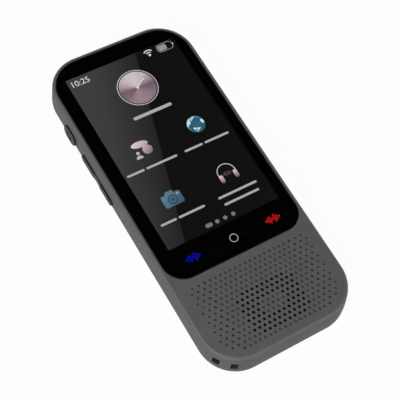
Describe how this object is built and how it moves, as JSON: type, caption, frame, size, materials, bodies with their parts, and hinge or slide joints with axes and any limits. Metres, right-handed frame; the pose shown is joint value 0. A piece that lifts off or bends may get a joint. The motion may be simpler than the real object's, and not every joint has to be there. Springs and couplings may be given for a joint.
{
  "type": "handheld translator",
  "caption": "Flat pocket device with round corners: touch display over touch keys and a speaker grille, side keys, and a lanyard loop at one corner.",
  "frame": {"origin": "middle of the flat back, with the device lying on it", "axes": "+X right across the face, +Y towards the top end, +Z out of the screen"},
  "size_m": [0.0665, 0.151, 0.016],
  "materials": {
    "front_shell": "fine matt texture",
    "rear_shell": "fine matt texture",
    "cover_glass": "polished",
    "black_tape": "matt",
    "display": "smooth",
    "foam": "open foam",
    "flex_copper": "satin",
    "connector_plastic": "moulded",
    "circuit_board": "lacquered",
    "led": "smooth",
    "light_guide": "clear",
    "side_key": "fine matt texture",
    "switch_housing": "stamped",
    "plunger": "moulded",
    "screw_steel": "zinc plated",
    "shield_steel": "tinned sheet",
    "chip_resin": "moulded",
    "connector_steel": "drawn sheet",
    "gold_contact": "plated",
    "rubber": "moulded",
    "battery_pouch": "laminated foil",
    "white_tape": "adhesive",
    "wire": "extruded",
    "mesh_cloth": "woven",
    "speaker_plastic": "moulded",
    "speaker_paper": "pressed",
    "magnet_steel": "nickel plated",
    "camera_trim": "turned and anodised",
    "camera_window": "polished",
    "flash_lens": "clear"
  },
  "bodies": {
    "housing": {"front_cover": "front_shell", "rear_cover": "rear_shell", "cover_glass": "cover_glass", "glass_tape": "black_tape", "lcd_panel": "display", "display_foam": "foam", "display_flex": "flex_copper", "display_connector": "connector_plastic", "touch_key_board": "circuit_board", "key_lights": "led", "key_light_guide": "light_guide", "key_flex": "flex_copper", "key_connector": "connector_plastic", "side_switch_board": "circuit_board", "side_switch_flex": "flex_copper", "power_switch": "switch_housing", "volume_switches": "switch_housing", "reset_switch": "switch_housing", "main_board": "circuit_board", "board_screws": "screw_steel", "processor_shield": "shield_steel", "radio_shield": "shield_steel", "processor_chip": "chip_resin", "memory_chip": "chip_resin", "radio_chip": "chip_resin", "usb_c_shell": "connector_steel", "usb_c_tongue": "chip_resin", "microphones": "gold_contact", "microphone_boots": "rubber", "battery": "battery_pouch", "battery_tape": "white_tape", "battery_circuit": "circuit_board", "battery_lead": "wire", "battery_connector": "connector_plastic", "battery_foam": "foam", "speaker_mesh": "mesh_cloth", "speaker_gasket": "foam", "speaker_frame": "speaker_plastic", "speaker_cone": "speaker_paper", "speaker_magnet": "magnet_steel", "speaker_screws": "screw_steel", "speaker_wires": "wire", "speaker_connector": "connector_plastic", "camera_module": "chip_resin", "camera_ring": "camera_trim", "camera_window": "camera_window", "flash_lens": "flash_lens", "flash_led": "led", "flash_board": "circuit_board", "wifi_antenna": "flex_copper", "antenna_pins": "gold_contact"},
    "power_key": {"power_button": "side_key"},
    "power_dome": {"power_plunger": "plunger"},
    "volume_key": {"volume_rocker": "side_key"},
    "volume_up_dome": {"volume_up_plunger": "plunger"},
    "volume_down_dome": {"volume_down_plunger": "plunger"},
    "reset_dome": {"reset_plunger": "plunger"}
  },
  "joints": [
    {"name": "power_press", "type": "slide", "parent": "housing", "child": "power_key", "axis": [1, 0, 0], "range_m": [0, 0.00035], "stiffness_N_per_m": 4500},
    {"name": "power_dome_press", "type": "slide", "parent": "housing", "child": "power_dome", "axis": [1, 0, 0], "range_m": [0, 0.00035]},
    {"name": "volume_tilt", "type": "hinge", "parent": "housing", "child": "volume_key", "pos_m": [-0.03054, 0.02268, 0.00785], "axis": [0, 0, 1], "range_deg": [-1.2, 1.2], "stiffness_Nm_per_rad": 0.6},
    {"name": "volume_up_dome_press", "type": "slide", "parent": "housing", "child": "volume_up_dome", "axis": [1, 0, 0], "range_m": [-0.00018, 0.00018]},
    {"name": "volume_down_dome_press", "type": "slide", "parent": "housing", "child": "volume_down_dome", "axis": [1, 0, 0], "range_m": [-0.00018, 0.00018]},
    {"name": "reset_press", "type": "slide", "parent": "housing", "child": "reset_dome", "axis": [1, 0, 0], "range_m": [0, 0.00025], "stiffness_N_per_m": 3000}
  ],
  "couplings": [
    {"joint": "power_dome_press", "follows": "power_press", "ratio": 1},
    {"joint": "volume_up_dome_press", "follows": "volume_tilt", "m_per_rad": -0.0085},
    {"joint": "volume_down_dome_press", "follows": "volume_tilt", "m_per_rad": 0.0085}
  ]
}
